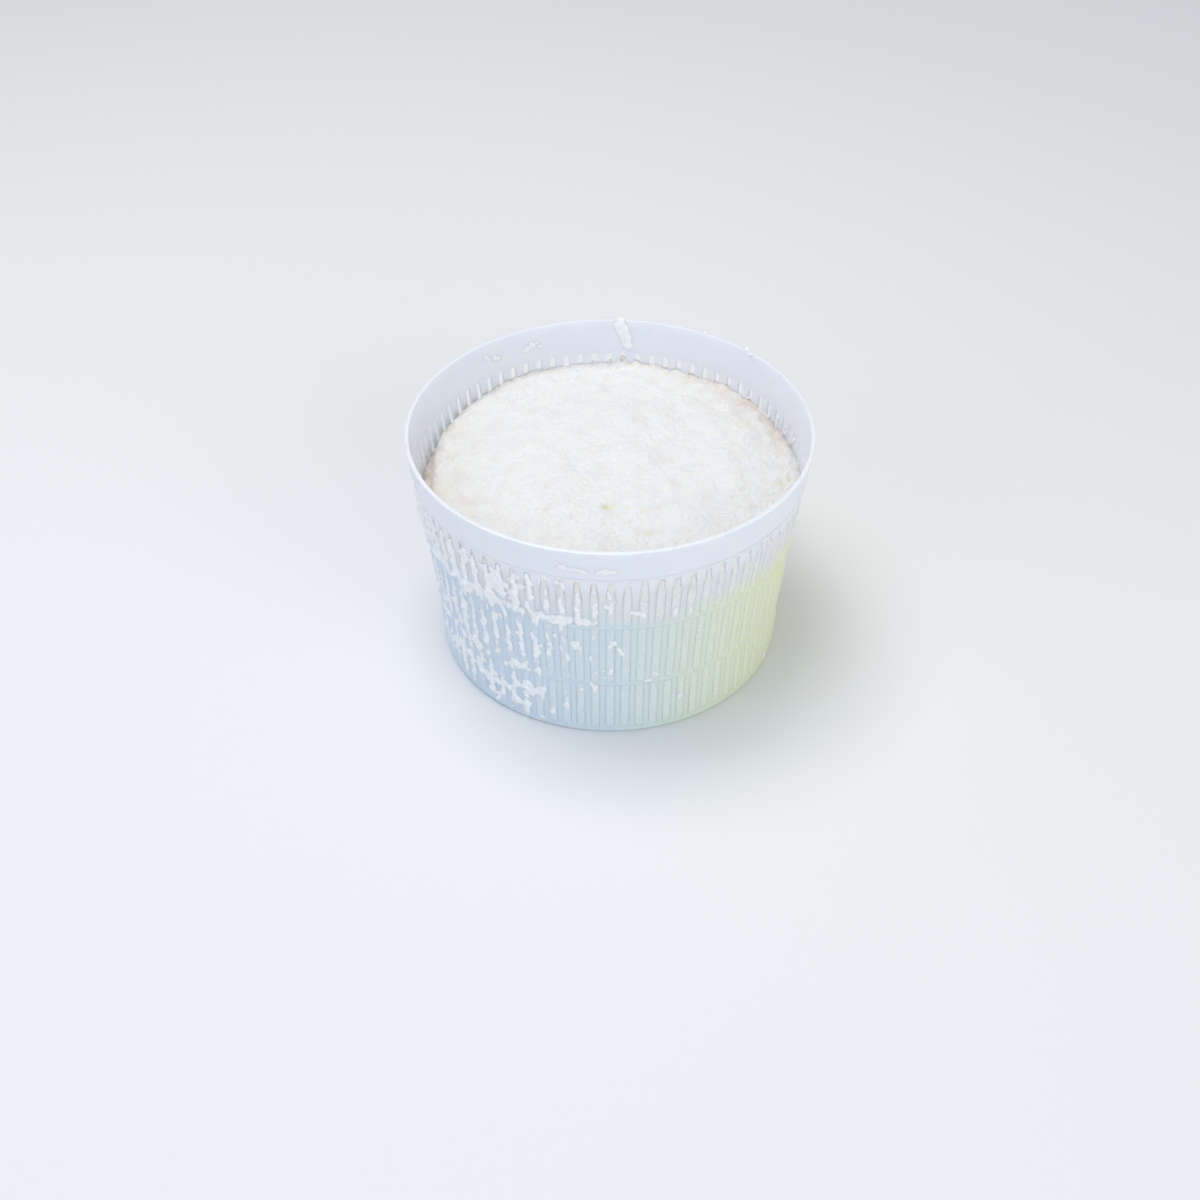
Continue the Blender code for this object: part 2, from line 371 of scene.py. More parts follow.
def hand_over(piece: bpy.types.Object, node: Node) -> bpy.types.Object:
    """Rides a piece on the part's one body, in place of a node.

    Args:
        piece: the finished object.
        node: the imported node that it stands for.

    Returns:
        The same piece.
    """
    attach(piece, "root")
    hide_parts(node.value)
    LOG.info("%s: %d faces", piece.name, len(piece.data.polygons))
    return piece


def along(points: list[tuple[float, float]], height: float) -> float:
    """Reads a radius off straight runs.

    Args:
        points: (radius, height) from the lowest up.
        height: where to read.

    Returns:
        The radius at that height.
    """
    for (low_radius, low), (high_radius, high) in zip(points, points[1:]):
        if height <= high:
            share = max(0.0, (height - low) / (high - low))
            return low_radius + share * (high_radius - low_radius)
    return points[-1][0]


def hump(angle: float, middle: float, spread: float) -> float:
    """A smooth hump of height 1 over the angles within a spread of its middle."""
    away = abs((angle - middle + math.pi) % TURN - math.pi)
    return 0.5 + 0.5 * math.cos(math.pi * away / spread) if away < spread else 0.0


@dataclass
class Basket:
    """The draining basket: one thin moulding, from its slotted base to its lip."""

    height: float = field(default_factory=lambda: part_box(Node.BASKET.value)[1][2])
    rim_radius: float = field(default_factory=lambda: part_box(Node.BASKET.value)[1][1])
    band_foot: tuple[float, float] = (57.4 * MM, 62.4 * MM)
    upper_hoop: tuple[float, float] = (55.15 * MM, 43.1 * MM)
    lower_hoop: tuple[float, float] = (52.75 * MM, 19.8 * MM)
    base_radius: float = 51.75 * MM
    base_edge: float = 1.25 * MM
    wall: float = 1.1 * MM
    hoop_step: float = 0.42 * MM
    band_step: float = 0.0
    ledge_rise: float = 0.12 * MM
    step_rise: float = 0.3 * MM
    slot_count: int = 78
    slot_width: float = 1.85 * MM
    hoop_height: float = 1.8 * MM
    slot_top_margin: float = 0.4 * MM
    first_slot_foot: float = 2.8 * MM
    base_slots: tuple[tuple[int, float, float], ...] = ((32, 27.0 * MM, 46.5 * MM), (16, 9.0 * MM, 23.0 * MM))
    edge_round: float = 0.11 * MM
    lip_drop: float = 0.2 * MM
    bead: float = 0.2 * MM
    _profile: list[tuple[float, float]] = field(default_factory=list)

    def outer(self, height: float) -> float:
        """Radius of the wall's outer face at a height, without the small steps."""
        return along([(self.base_radius, 0.0), self.lower_hoop, self.upper_hoop, self.band_foot,
                      (self.rim_radius, self.height)], height)

    def inner(self, height: float) -> float:
        """Radius of the wall's inner face at a height."""
        points = [(self.base_radius - self.wall, self.wall)]
        for (radius, level), step in ((self.lower_hoop, self.hoop_step), (self.upper_hoop, self.hoop_step),
                                      (self.band_foot, self.band_step)):
            points.append((radius - self.wall - step, level - self.step_rise))
        points += [(self.band_foot[0] - self.wall, self.band_foot[1]),
                   (self.rim_radius - self.wall, self.height)]
        return along(points, height)

    def slot_angle(self, index: int) -> float:
        """Angle of a slot's middle line; a slot lies dead behind and another dead in front."""
        return TURN * (index + 0.5) / self.slot_count

    def slot_rows(self) -> list[tuple[float, float]]:
        """Foot and top of the slots in each row, the lowest row first."""
        hoops = (self.lower_hoop[1], self.upper_hoop[1])
        feet = [self.first_slot_foot, *(hoop + self.hoop_height for hoop in hoops)]
        tops = [*hoops, self.band_foot[1]]
        return [(foot, top - self.step_rise - self.slot_top_margin) for foot, top in zip(feet, tops)]

    def rows(self) -> list[tuple[float, float, bool]]:
        """Rows of the wall's sheet, from the base's flat up to the lip.

        Returns:
            For each row its radius, its height and whether the slots are open from it to the next row.
        """
        edge, half = self.base_edge, self.slot_width / 2
        line: list[tuple[float, float, bool]] = []
        for step in range(5):
            lean = math.radians(90.0 * step / 4)
            radius = self.base_radius - edge + edge * math.sin(lean)
            line.append((radius, edge - edge * math.cos(lean), False))
        feet = [(self.base_radius, edge), self.lower_hoop, self.upper_hoop]
        heads = [(*self.lower_hoop, self.hoop_step, self.ledge_rise),
                 (*self.upper_hoop, self.hoop_step, self.ledge_rise),
                 (*self.band_foot, self.band_step, self.step_rise)]
        bends = (0.0, 0.617, 1.0)
        for low_end, (high_radius, high, step, rise), (foot, top) in zip(feet, heads, self.slot_rows()):
            run = [low_end, (high_radius - step, high - rise)]
            heights = [foot + half * bend for bend in bends] + [(foot + top) / 2]
            heights += [top - half * bend for bend in reversed(bends)]
            for place, level in enumerate(heights):
                line.append((along(run, level), level, place < len(heights) - 1))
            line.append((*run[1], False))
            line.append((high_radius, high, False))
        for share in (0.33, 0.66, 1.0):
            level = self.band_foot[1] + share * (self.height - self.lip_drop - self.band_foot[1])
            line.append((self.outer(level), level, False))
        return line

    def skin(self, level: float) -> float:
        """Radius of the wall's outer face at a height, small steps included."""
        if not self._profile:
            self._profile = [(radius, height) for radius, height, _ in self.rows()]
        return along(self._profile, level)

    def pitch_sheet(self) -> bmesh.types.BMesh:
        """One pitch of the wall's outer face, with a round-ended slot in each row.

        Returns:
            The sheet, with the first slot's middle line in its middle.
        """
        rows = self.rows()
        half_slot, half_pitch = self.slot_width / 2, TURN / self.slot_count / 2
        mesh = bmesh.new()
        shares = (-1.0, -0.62, None, None, 0.0, None, None, 0.62, 1.0)
        slot_columns = {2: -1.0, 3: -0.5, 5: 0.5, 6: 1.0}
        columns = len(shares) - 1
        bmesh.ops.create_grid(mesh, x_segments=columns, y_segments=len(rows) - 1, size=1.0)
        grid = {}
        for vertex in mesh.verts:
            column = round((vertex.co.x + 1) / 2 * columns)
            row = round((vertex.co.y + 1) / 2 * (len(rows) - 1))
            grid[vertex] = (column, row)
        open_faces = [face for face in mesh.faces if self._in_slot([grid[v] for v in face.verts], rows)]
        arcs = self._slot_arcs(rows)
        for vertex, (column, row) in grid.items():
            radius, level, _ = rows[row]
            if column in slot_columns:
                across, rise = arcs.get((abs(column - 4), row), (abs(slot_columns[column]) * half_slot, 0.0))
                angle = math.copysign(across, slot_columns[column]) / radius
                level += rise
                radius = radius if rise == 0.0 else self.skin(level)
            else:
                angle = shares[column] * half_pitch
            angle += self.slot_angle(0)
            vertex.co = (radius * math.cos(angle), radius * math.sin(angle), level)
        bmesh.ops.delete(mesh, geom=open_faces, context="FACES")
        return mesh

    @staticmethod
    def _in_slot(corners: list[tuple[int, int]], rows: list[tuple[float, float, bool]]) -> bool:
        """Whether a cell of the sheet lies in a slot."""
        first_column = min(column for column, _ in corners)
        first_row = min(row for _, row in corners)
        return 2 <= first_column < 6 and rows[first_row][2]

    def _slot_arcs(self, rows: list[tuple[float, float, bool]]) -> dict[tuple[int, int], tuple[float, float]]:
        """Where the sheet's points move so that the slots' ends are round.

        Args:
            rows: the sheet's rows.

        Returns:
            For (columns off the middle, row): distance off the middle line and rise.
        """
        half = self.slot_width / 2
        arcs = {}
        for row in range(1, len(rows)):
            starts = rows[row][2] and not rows[row - 1][2]
            ends = rows[row - 1][2] and not rows[row][2]
            if not (starts or ends):
                continue
            way = 1 if starts else -1
            for off, degrees in ((1, 22.5), (2, 45.0)):
                lean = math.radians(degrees)
                arcs[(off, row)] = (half * math.sin(lean), way * half * (1 - math.cos(lean)))
            arcs[(2, row + way)] = (half * math.sin(math.radians(67.5)), 0.0)
        return arcs

    def base_sheet(self, mesh: bmesh.types.BMesh) -> None:
        """Fills the base inside the wall's lowest loop, round its radial slots."""
        rim = [edge for edge in mesh.edges
               if edge.is_boundary and all(vertex.co.z < 0.01 * MM for vertex in edge.verts)]
        loops = list(rim)
        half = self.slot_width / 2
        for count, near, far in self.base_slots:
            for index in range(count):
                turn = Matrix.Rotation(TURN * (index + 0.5) / count, 4, "Z")
                ring = bmesh.ops.create_circle(mesh, cap_ends=False, radius=half, segments=12,
                                               matrix=turn)["verts"]
                for vertex in ring:
                    flat = turn.inverted() @ vertex.co
                    flat.x += far - half if flat.x > 0 else near + half
                    vertex.co = turn @ flat
                loops += list({edge for vertex in ring for edge in vertex.link_edges})
        bmesh.ops.triangle_fill(mesh, use_beauty=True, use_dissolve=False, edges=loops, normal=(0, 0, -1))

    def build(self, material: bpy.types.Material) -> bpy.types.Object:
        """Builds the whole moulding.

        Args:
            material: the plastic.

        Returns:
            The finished piece.
        """
        mesh = self.pitch_sheet()
        bmesh.ops.spin(mesh, geom=[*mesh.verts, *mesh.edges, *mesh.faces], axis=(0, 0, 1), cent=(0, 0, 0),
                       angle=TURN, steps=self.slot_count, use_duplicate=True)
        bmesh.ops.remove_doubles(mesh, verts=mesh.verts, dist=0.005 * MM)
        self.base_sheet(mesh)
        bmesh.ops.recalc_face_normals(mesh, faces=mesh.faces)
        piece = finish_piece("basket_moulding", mesh, material)
        shell = piece.modifiers.new("wall", "SOLIDIFY")
        shell.thickness = self.wall
        shell.offset = -1.0
        shell.use_even_offset = True
        soft = piece.modifiers.new("soft_edges", "BEVEL")
        soft.width = self.edge_round
        soft.segments = 2
        soft.limit_method = "ANGLE"
        soft.angle_limit = math.radians(50)
        soft.use_clamp_overlap = True
        return hand_over(piece, Node.BASKET)

    def build_bead(self, material: bpy.types.Material) -> bpy.types.Object:
        """Builds the fine raised line round the band's foot, in whiter plastic that paints the bright line of
        light along it.
        """
        mesh = bmesh.new()
        place = Matrix.Translation((self.band_foot[0] - self.bead / 3, 0.0, self.band_foot[1]))
        ring = bmesh.ops.create_circle(mesh, segments=8, radius=self.bead,
                                       matrix=place @ Matrix.Rotation(math.pi / 2, 4, "X"))["verts"]
        bmesh.ops.spin(mesh, geom=ring + mesh.edges[:], axis=(0, 0, 1), cent=(0, 0, 0), angle=TURN,
                       steps=3 * self.slot_count, use_merge=True)
        bmesh.ops.recalc_face_normals(mesh, faces=mesh.faces)
        return hand_over(finish_piece("band_bead", mesh, material), Node.BASKET)

    def slot_depth(self, angle: float, height: float) -> float:
        """How far a place on the wall lies inside the nearest slot's outline, below 0 outside it."""
        pitch = TURN / self.slot_count
        off = abs(angle / pitch % 1.0 - 0.5) * pitch * self.outer(height)
        inside = [min(height - foot, top - height) for foot, top in self.slot_rows()]
        return min(self.slot_width / 2 - off, max(inside))


@dataclass
class Ricotta:
    """The ricotta: a plug that fills the basket out into its slots, with a low dome and a grained top.

    The seed fixes noise_vector, which would otherwise take one from the clock."""

    basket: Basket
    seed: int = 5
    foot: float = 1.25 * MM
    dome_height: float = 62.6 * MM
    rest_level: float = 58.4 * MM
    left_dip: tuple[float, float, float] = (6.4 * MM, math.radians(168.0), math.radians(62.0))
    right_dip: tuple[float, float, float] = (3.8 * MM, math.radians(14.0), math.radians(44.0))
    back_bump: tuple[float, float, float] = (1.5 * MM, math.radians(86.0), math.radians(4.0))
    shoulder_width: float = 5.0 * MM
    swell: tuple[float, float] = (17.0 * MM, 1.1 * MM)
    lump: tuple[float, float] = (7.0 * MM, 0.55 * MM)
    clot: tuple[float, float] = (5.2 * MM, 0.85 * MM)
    curd: tuple[float, float] = (2.1 * MM, 0.5 * MM)
    grain: tuple[float, float] = (1.1 * MM, 0.16 * MM)
    ragged: tuple[float, float] = (2.4 * MM, 0.9 * MM)
    ragged_reach: float = 1.2 * MM
    edge_crumble: float = 1.1
    finger: tuple[float, float, float] = (4.4 * MM, math.radians(265.0), math.radians(92.0))
    low_finger: float = 0.5 * MM
    terrace: tuple[float, float, float] = (3.6 * MM, math.radians(187.0), math.radians(42.0))
    side_depth: float = 0.3 * MM
    side_flush: float = -0.04 * MM
    side_lap: float = 0.32 * MM
    side_bulge: float = 0.1 * MM
    terrace_rise: float = 2.8 * MM
    cells: int = 256
    pits: tuple[tuple[float, float, float, float], ...] = (
        (-0.9, -23.3, 1.4, 1.2), (0.9, -22.2, 0.8, 0.5), (9.7, -25.2, 1.2, 0.45), (10.9, -34.2, 0.9, 0.55),
        (-42.7, -24.2, 1.2, 0.4), (49.7, -10.1, 1.3, 0.5), (52.0, -7.8, 0.9, 0.6), (-44.8, 16.6, 1.6, 0.25))
    cracks: tuple[tuple[tuple[float, float], ...], ...] = (
        ((-0.9, -23.3), (3.0, -23.9), (7.5, -23.6)),
        ((-1.6, -28.5), (-1.0, -32.5), (0.2, -36.5)),
        ((4.5, -30.5), (7.5, -28.5), (10.2, -24.8), (13.5, -24.2)),
        ((10.9, -34.2), (13.0, -33.0), (15.5, -33.6)),
        ((22.0, 35.0), (28.0, 31.0), (34.0, 24.0), (39.7, 16.6)),
        ((36.5, -22.0), (35.5, -17.5), (39.0, -12.5), (38.0, -8.0)))
    crack_width: float = 0.55 * MM
    crack_depth: float = 0.6 * MM

    def wall_level(self, angle: float) -> float:
        """Height at which the ricotta meets the wall."""
        dips = sum(depth * hump(angle, middle, spread)
                   for depth, middle, spread in (self.left_dip, self.right_dip))
        ripple = 0.5 * MM * math.sin(9 * angle + 1.0) + 0.3 * MM * math.sin(23 * angle)
        return self.rest_level - dips + ripple

    def edge_level(self, angle: float) -> float:
        """The wall level with its crumbly raggedness, and with curd drawn up in the slots."""
        level = self.wall_level(angle)
        size, rise = self.ragged
        spot = Vector((math.cos(angle), math.sin(angle), 0.0)) * level / size
        depth, middle, spread = self.back_bump
        level += rise * noise.noise(spot) + depth * hump(angle, middle, spread)
        luck = 0.6 + noise.noise(spot * 0.4 + Vector((0.0, 0.0, 8.0)))
        foot, top = self.basket.slot_rows()[-1]
        fill = max(0.0, self.basket.slot_depth(angle, (foot + top) / 2)) / (self.basket.slot_width / 2)
        rise, middle, spread = self.finger
        drawn = self.low_finger + rise * hump(angle, middle, spread)
        return min(level + drawn * max(0.0, luck) * fill ** 0.3, top)

    def level_near(self, angle: float, edge: float, inward: float) -> float:
        """The ricotta's level a little way in from the wall, where its ragged edge soon evens out."""
        level = self.wall_level(angle)
        return level + (edge - level) * max(0.0, 1.0 - inward / self.ragged_reach) ** 2

    def top_height(self, x: float, y: float, level: float, reach: float) -> float:
        """Height of the top: the low dome, its rounded shoulder, its swells and its curds.

        Args:
            x: the place across.
            y: the place along.
            level: the ricotta's height at the wall in that direction.
            reach: its radius there.

        Returns:
            The height in metres.
        """
        out = min(1.0, math.hypot(x, y) / reach)
        width, middle, spread = self.terrace
        ledge = width * hump(math.atan2(y, x), middle, spread)
        shoulder = min(1.0, max(0.0, (1.0 - out) * reach - ledge) / self.shoulder_width)
        crown = self.rest_level + (self.dome_height - self.rest_level) * (1.0 - out ** 2.4)
        level += self.terrace_rise * ledge / width * min(1.0, (1.0 - out) * reach / (0.5 * width))
        height = level + (crown - level) * math.sqrt(1.0 - (1.0 - shoulder) ** 2)
        broad = sum(rise * noise.noise(Vector((x / size, y / size, seed)))
                    for (size, rise), seed in ((self.swell, 0.3), (self.lump, 4.7)))
        crumble = 1.0 + self.edge_crumble * max(0.0, out - 0.76) / 0.24
        return height + broad * shoulder + crumble * self.relief(Vector((x, y, height)))

    def relief(self, spot: Vector) -> float:
        """Clots, round curds and grain, as a distance out of the surface."""
        crumbly = max(0.0, 0.55 + 1.1 * noise.noise(spot / self.swell[0] + Vector((0.0, 5.0, 1.0))))
        bent = spot + 0.8 * MM * noise.noise_vector(spot / self.curd[0])
        rise = self.grain[1] * noise.noise(spot / self.grain[0])
        for (size, height), share in ((self.clot, crumbly), (self.curd, 0.5 + 0.5 * crumbly)):
            rise += height * share * (0.45 - noise.voronoi(bent / size)[0][0])
        return rise

    def hollows(self, x: float, y: float) -> tuple[float, float]:
        """What the pits and cracks take away, and how much whey stands there.

        Args:
            x: the place across.
            y: the place along.

        Returns:
            The depth in metres and the share of whey.
        """
        depth, whey = 0.0, 0.0
        spot = Vector((x, y, 0.0))
        uneven = 1.0 + 0.9 * noise.noise(spot / (1.4 * MM))
        for pit_x, pit_y, radius, deep in self.pits:
            near = math.exp(-uneven * ((x / MM - pit_x) ** 2 + (y / MM - pit_y) ** 2) / radius ** 2)
            depth = max(depth, deep * MM * near)
            whey = max(whey, min(0.75, 0.7 * deep) * near)
        for crack in self.cracks:
            for (start_x, start_y), (end_x, end_y) in zip(crack, crack[1:]):
                start, end = Vector((start_x, start_y, 0.0)) * MM, Vector((end_x, end_y, 0.0)) * MM
                share = min(1.0, max(0.0, intersect_point_line(spot, start, end)[1]))
                away = (spot - start.lerp(end, share)).length + 0.7 * MM * noise.noise(spot / (1.9 * MM))
                near = math.exp(-(away / self.crack_width) ** 2) * min(1.0, max(0.0, 1.6 - uneven))
                depth = max(depth, self.crack_depth * near)
                whey = max(whey, 0.16 * near)
        return depth, whey

    def cream_and_edge_shade(self, x: float, y: float, out: float) -> float:
        """How much cream colour the top takes, most at the low left shoulder and in patches along its edge:
        random patches of drier curd, and painted shade where the top falls to the wall.
        """
        angle = math.atan2(y, x)
        spot = Vector((x, y, 0.0))
        # Painted shade: more cream colour towards the wall, most on the low left and right shoulders.
        edge = max(0.0, (out - 0.86) / 0.14)
        patch = 0.5 + 0.9 * noise.noise(spot / self.clot[0] + Vector((3.0, 0.0, 2.0)))
        side = hump(angle, math.radians(190.0), math.radians(60.0)) + hump(angle, math.radians(38.0), 0.9)
        inner = 0.3 * max(0.0, noise.noise(spot / self.clot[0] + Vector((7.0, 1.0, 4.0))) - 0.05)
        inner += 1.6 * (side + 0.35) * max(0.0, out - 0.62) * patch
        return min(1.0, max(0.0, inner + edge * (0.3 * patch + 0.4 * side)))

    @staticmethod
    def to_disc(across: float, along_it: float) -> tuple[float, float]:
        """Maps a point of the square within 1 of the middle onto the unit disc, areas kept."""
        if abs(across) > abs(along_it):
            radius, angle = across, math.pi / 4 * along_it / across
        elif along_it:
            radius, angle = along_it, math.pi / 2 - math.pi / 4 * across / along_it
        else:
            return 0.0, 0.0
        return radius * math.cos(angle), radius * math.sin(angle)

    def side_heights(self, level: float) -> list[float]:
        """Heights of the side's rows below the edge, close together at the slots' ends."""
        heights = []
        end = 0.9 * MM
        for number, (foot, top) in enumerate(reversed(self.basket.slot_rows())):
            high = top - end if number else level
            if number:
                heights.append(top + 0.2 * MM)
            heights += [high + (foot + end - high) * step / 6 for step in range(0 if number else 1, 7)]
            heights.append(foot - 0.2 * MM)
        return heights + [self.foot]

    def side_point(self, angle: float, height: float) -> Vector:
        """A point of the side: inside the wall behind the ribs and just proud in the slots."""
        spot = Vector((math.cos(angle), math.sin(angle), 0.0)) * self.basket.outer(height)
        spot.z = height
        inside = self.basket.slot_depth(angle, height)
        flush = min(1.0, max(0.0, (inside + self.side_lap) / self.side_depth + 1.0))
        fill = 1.0 - (1.0 - min(1.0, max(0.0, 2 * inside / self.basket.slot_width))) ** 2
        radius = self.basket.skin(height) - self.side_depth + (self.side_depth - self.side_flush) * flush
        radius += self.side_bulge * fill * (0.7 + 0.8 * noise.noise(spot / self.curd[0]))
        return Vector((radius * math.cos(angle), radius * math.sin(angle), height))

    def build(self, material: bpy.types.Material) -> bpy.types.Object:
        """Shapes the top on an even grid and draws the side down from its edge.

        Args:
            material: the curd.

        Returns:
            The finished piece.
        """
        noise.seed_set(self.seed)
        mesh = bmesh.new()
        whey = mesh.verts.layers.float.new("whey")
        cream_and_shade = mesh.verts.layers.float.new("cream_and_shade")
        bmesh.ops.create_grid(mesh, x_segments=self.cells, y_segments=self.cells, size=1.0)
        for vertex in mesh.verts:
            x, y = self.to_disc(vertex.co.x, vertex.co.y)
            angle, out = math.atan2(y, x), math.hypot(x, y)
            edge = self.edge_level(angle)
            reach = self.basket.skin(edge) - self.side_depth
            x, y = x * reach, y * reach
            if vertex.is_boundary:
                vertex.co = (x, y, edge)
            else:
                depth, vertex[whey] = self.hollows(x, y)
                level = self.level_near(angle, edge, (1.0 - out) * reach)
                vertex.co = (x, y, self.top_height(x, y, level, reach) - depth)
            vertex[cream_and_shade] = self.cream_and_edge_shade(x, y, out)
        rim = [edge for edge in mesh.edges if edge.is_boundary]
        drops: dict[float, list[float]] = {}
        for row in range(len(self.side_heights(self.rest_level))):
            made = bmesh.ops.extrude_edge_only(mesh, edges=rim)["geom"]
            rim = [part for part in made if isinstance(part, bmesh.types.BMEdge)]
            for vertex in (part for part in made if isinstance(part, bmesh.types.BMVert)):
                angle = math.atan2(vertex.co.y, vertex.co.x)
                column = round(angle, 3)
                if column not in drops:
                    drops[column] = self.side_heights(self.edge_level(angle))
                vertex.co = self.side_point(angle, drops[column][row])
                vertex[cream_and_shade] *= 0.3
        bmesh.ops.holes_fill(mesh, edges=rim, sides=0)
        bmesh.ops.recalc_face_normals(mesh, faces=mesh.faces)
        return hand_over(finish_piece("ricotta_curd", mesh, material, CURD_SHARP_ANGLE), Node.RICOTTA)


@dataclass(frozen=True)
class Lump:
    """A small lump of curd on the wall: its place, its half sizes and its lean to the side."""

    angle: float
    height: float
    half_width: float
    half_height: float
    proud: float
    lean: float = 0.0
    face: Face = Face.OUTSIDE


@dataclass
class WallCurd:
    """Curd that clings to the wall: lumps set into its faces, fused and roughened."""

    basket: Basket
    ricotta: Ricotta
    sink: float = 0.35 * MM
    least_sink: float = 0.08 * MM
    voxel: float = 0.35 * MM
    knobs: tuple[float, float] = (1.2 * MM, 0.16 * MM)
    grain: tuple[float, float] = (0.6 * MM, 0.06 * MM)

    def add_lump(self, mesh: bmesh.types.BMesh, ball: bpy.types.Mesh, lump: Lump) -> None:
        """Adds one lump, a ball stretched and set into the wall's face but not through it, to a mesh."""
        side = lump.face.value
        radius = self.basket.skin(lump.height) if side > 0 else self.basket.inner(lump.height)
        rise = self.basket.outer(lump.height + MM) - self.basket.outer(lump.height - MM)
        room = (self.basket.wall - lump.proud) / 2 - self.least_sink
        sink = min(self.sink, max(self.least_sink, room))
        place = Matrix.Rotation(lump.angle, 4, "Z")
        place @= Matrix.Translation((radius - side * sink, 0.0, lump.height))
        place @= Matrix.Rotation(math.atan2(rise, 2 * MM), 4, "Y")
        place @= Matrix.Rotation(lump.lean, 4, "X")
        place @= Matrix.Diagonal((lump.proud + sink, lump.half_width, lump.half_height, 1.0))
        shaped = ball.copy()
        shaped.transform(place)
        mesh.from_mesh(shaped)
        bpy.data.meshes.remove(shaped)

    def fuse(self, name: str, lumps: Iterable[Lump], material: bpy.types.Material) -> bpy.types.Object:
        """Fuses lumps into one piece and roughens it.

        Args:
            name: the piece's name.
            lumps: what to fuse.
            material: the curd.

        Returns:
            The finished piece.
        """
        mesh = bmesh.new()
        bmesh.ops.create_icosphere(mesh, subdivisions=2, radius=1.0)
        ball = bpy.data.meshes.new("ball")
        mesh.to_mesh(ball)
        mesh.clear()
        for lump in lumps:
            self.add_lump(mesh, ball, lump)
        bpy.data.meshes.remove(ball)
        rough = finish_piece("rough_lumps", mesh, material)
        fuse = rough.modifiers.new("fuse", "REMESH")
        fuse.mode = "VOXEL"
        fuse.voxel_size = self.voxel
        even = rough.modifiers.new("even", "SMOOTH")
        even.iterations = 3
        fused = bpy.data.meshes.new_from_object(rough.evaluated_get(bpy.context.evaluated_depsgraph_get()))
        bpy.data.objects.remove(rough)
        mesh = bmesh.new()
        mesh.from_mesh(fused)
        bpy.data.meshes.remove(fused)
        mesh.normal_update()
        moves = [(vertex, vertex.normal * self.roughness(vertex.co)) for vertex in mesh.verts]
        for vertex, move in moves:
            vertex.co += move
        return hand_over(finish_piece(name, mesh, material, CURD_SHARP_ANGLE), Node.RICOTTA)

    def roughness(self, spot: Vector) -> float:
        """How far a point of the lumps moves out of the surface."""
        return sum(rise * noise.noise(spot / size) for size, rise in (self.knobs, self.grain))


